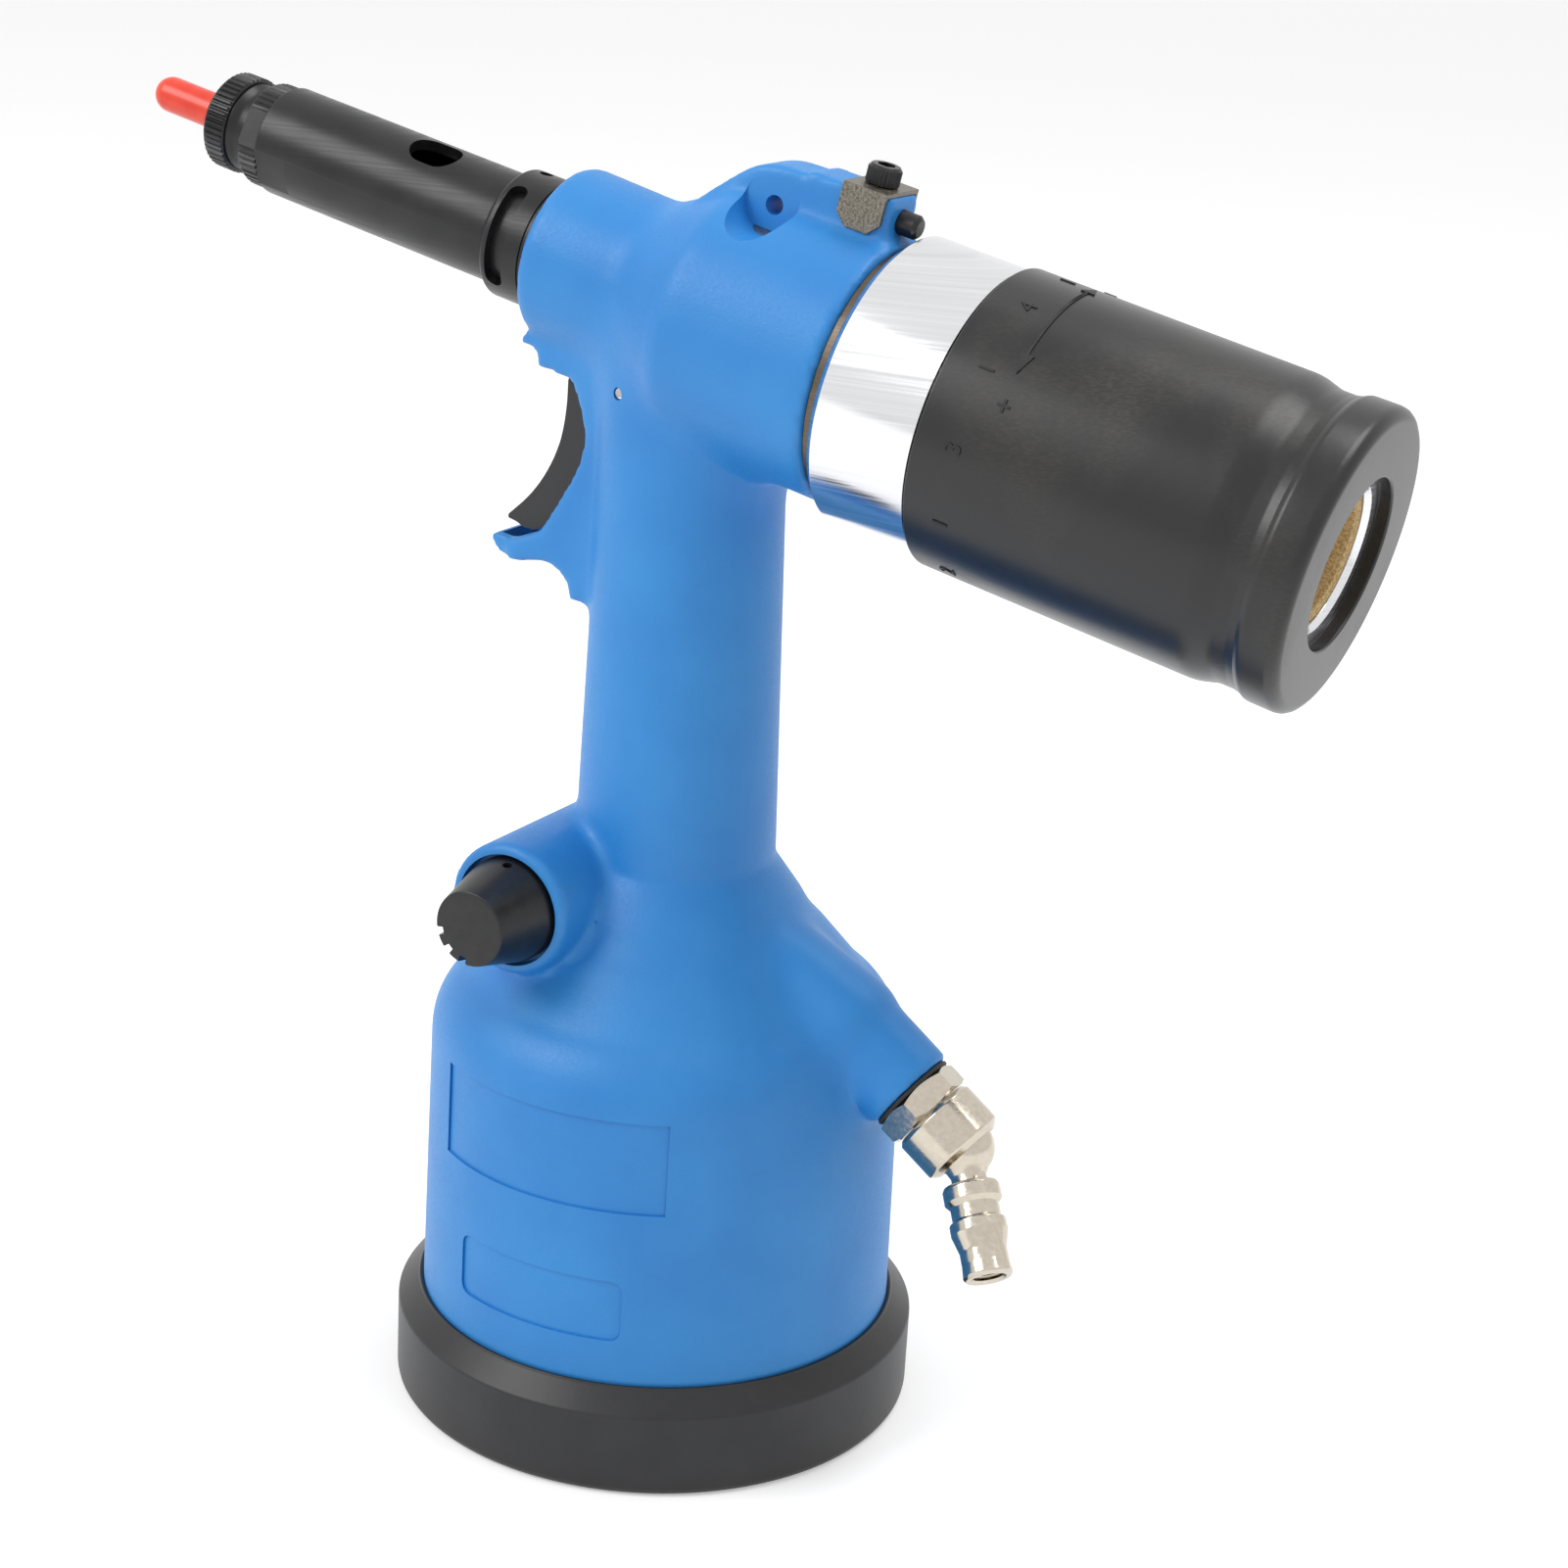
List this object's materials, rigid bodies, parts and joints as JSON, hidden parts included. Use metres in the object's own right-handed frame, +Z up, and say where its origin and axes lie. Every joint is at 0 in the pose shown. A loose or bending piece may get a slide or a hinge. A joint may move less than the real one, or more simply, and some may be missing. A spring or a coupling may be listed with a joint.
{
  "type": "pneumatic rivet gun",
  "caption": "Hand-held air and oil rivet gun: upright air cylinder base and grip, tilted head with a long nose barrel and rear motor, trigger, regulator knob and swivel air plug.",
  "frame": {"origin": "centre of the base cup's resting face", "axes": "+Z up along the handle, -X towards the nose, +X towards the rear motor, -Y the side with the regulator knob"},
  "size_m": [0.2932, 0.1172, 0.2817],
  "materials": {
    "blue_nylon": "fine moulded grain",
    "black_rubber": "satin",
    "cast_aluminium": "as cast",
    "polished_aluminium": "polished and turned",
    "spring_steel": "drawn",
    "ground_steel": "ground",
    "dark_steel": "satin",
    "black_oxide": "black oxide",
    "black_anodised": "black anodised",
    "black_plastic": "fine grain",
    "bronze": "turned",
    "sintered_bronze": "sintered grain",
    "fibre_laminate": "pressed laminate",
    "red_vinyl": "soft satin",
    "nickel_plate": "bright nickel plate"
  },
  "bodies": {
    "frame": {"housing": "blue_nylon", "base_cup": "black_rubber", "bottom_cover": "cast_aluminium", "cover_clip_ring": "spring_steel", "air_cylinder": "cast_aluminium", "ram_gland": "bronze", "oil_tube": "ground_steel", "head_cylinder": "ground_steel", "head_end_ring": "dark_steel", "nose_barrel": "black_oxide", "slotted_collar": "black_oxide", "motor_cylinder": "ground_steel", "motor_front_plate": "ground_steel", "motor_rear_plate": "ground_steel", "motor_bearings": "ground_steel", "inlet_adapter": "nickel_plate", "inlet_seal": "black_rubber", "trigger_pin": "ground_steel", "clamp_clip": "dark_steel", "trigger_spring": "spring_steel", "return_spring": "spring_steel"},
    "piston": {"air_piston": "cast_aluminium", "air_piston_seal": "black_rubber", "ram": "ground_steel"},
    "drawbar": {"draw_piston": "ground_steel", "draw_piston_seal": "black_rubber"},
    "spindle": {"mandrel": "ground_steel", "drive_shaft": "ground_steel"},
    "cap": {"protective_cap": "red_vinyl"},
    "rotor": {"motor_rotor": "ground_steel", "motor_vanes": "fibre_laminate"},
    "anvil": {"anvil": "black_oxide"},
    "nut": {"lock_nut": "black_oxide"},
    "adjuster": {"adjuster_sleeve": "polished_aluminium", "rear_boot": "black_rubber", "muffler": "sintered_bronze", "muffler_ring": "polished_aluminium"},
    "pin": {"lock_pin": "black_oxide"},
    "screw": {"clamp_screw": "black_oxide"},
    "trigger": {"trigger": "black_plastic"},
    "rod": {"trigger_rod": "ground_steel"},
    "knob": {"regulator_knob": "black_anodised", "knob_seal": "black_rubber"},
    "swivel": {"swivel_sleeve": "nickel_plate"},
    "plug": {"air_plug": "nickel_plate"}
  },
  "joints": [
    {"name": "piston_slide", "type": "slide", "parent": "frame", "child": "piston", "axis": [0, 0, 1], "range_m": [0, 0.04], "stiffness_N_per_m": 400, "springref_m": -0.02, "deforming": ["return_spring"]},
    {"name": "drawbar_slide", "type": "slide", "parent": "frame", "child": "drawbar", "axis": [0.9787, 0, -0.2053], "range_m": [0, 0.008]},
    {"name": "rotor_spin", "type": "hinge", "parent": "frame", "child": "rotor", "pos_m": [0.05872, 0, 0.23348], "axis": [0.9787, 0, -0.2053], "continuous": true},
    {"name": "spindle_spin", "type": "hinge", "parent": "drawbar", "child": "spindle", "pos_m": [-0.05872, 0, 0.25812], "axis": [0.9787, 0, -0.2053], "continuous": true},
    {"name": "cap_pull", "type": "slide", "parent": "spindle", "child": "cap", "axis": [0.9787, 0, -0.2053], "range_m": [-0.022, 0]},
    {"name": "anvil_turn", "type": "hinge", "parent": "frame", "child": "anvil", "pos_m": [-0.11744, 0, 0.27044], "axis": [0.9787, 0, -0.2053], "range_deg": [-180, 180]},
    {"name": "lock_nut_turn", "type": "hinge", "parent": "frame", "child": "nut", "pos_m": [-0.10961, 0, 0.2688], "axis": [0.9787, 0, -0.2053], "range_deg": [-180, 180]},
    {"name": "adjuster_turn", "type": "hinge", "parent": "frame", "child": "adjuster", "pos_m": [0.08808, 0, 0.22732], "axis": [0.9787, 0, -0.2053], "range_deg": [-150, 150]},
    {"name": "lock_pin_slide", "type": "slide", "parent": "frame", "child": "pin", "axis": [0.9787, 0, -0.2053], "range_m": [-0.003, 0]},
    {"name": "clamp_screw_turn", "type": "hinge", "parent": "frame", "child": "screw", "pos_m": [0.04039, 0, 0.27615], "axis": [0.2053, 0, 0.9787], "range_deg": [-180, 180]},
    {"name": "trigger_pull", "type": "hinge", "parent": "frame", "child": "trigger", "pos_m": [-0.008, 0, 0.2288], "axis": [0, -1, 0], "range_deg": [0, 6.5], "stiffness_Nm_per_rad": 0.25, "springref_deg": -8.59},
    {"name": "rod_slide", "type": "slide", "parent": "frame", "child": "rod", "axis": [0, 0, 1], "range_m": [-0.001, 0], "stiffness_N_per_m": 0.5, "springref_m": 0.0998, "deforming": ["trigger_spring"]},
    {"name": "knob_turn", "type": "hinge", "parent": "frame", "child": "knob", "pos_m": [-0.0172, -0.04, 0.1203], "axis": [0, -1, 0], "range_deg": [0, 270]},
    {"name": "swivel_turn", "type": "hinge", "parent": "frame", "child": "swivel", "pos_m": [0.06924, 0, 0.07907], "axis": [0.809, 0, -0.5878], "continuous": true},
    {"name": "plug_tilt", "type": "hinge", "parent": "swivel", "child": "plug", "pos_m": [0.07434, 0, 0.07537], "axis": [-0.5038, 0.515, -0.6935], "range_deg": [-68, 1.8]}
  ],
  "couplings": [
    {"joint": "drawbar_slide", "follows": "piston_slide", "ratio": 0.2},
    {"joint": "spindle_spin", "follows": "rotor_spin", "ratio": 1},
    {"joint": "rod_slide", "follows": "trigger_pull", "m_per_rad": -0.0085}
  ]
}
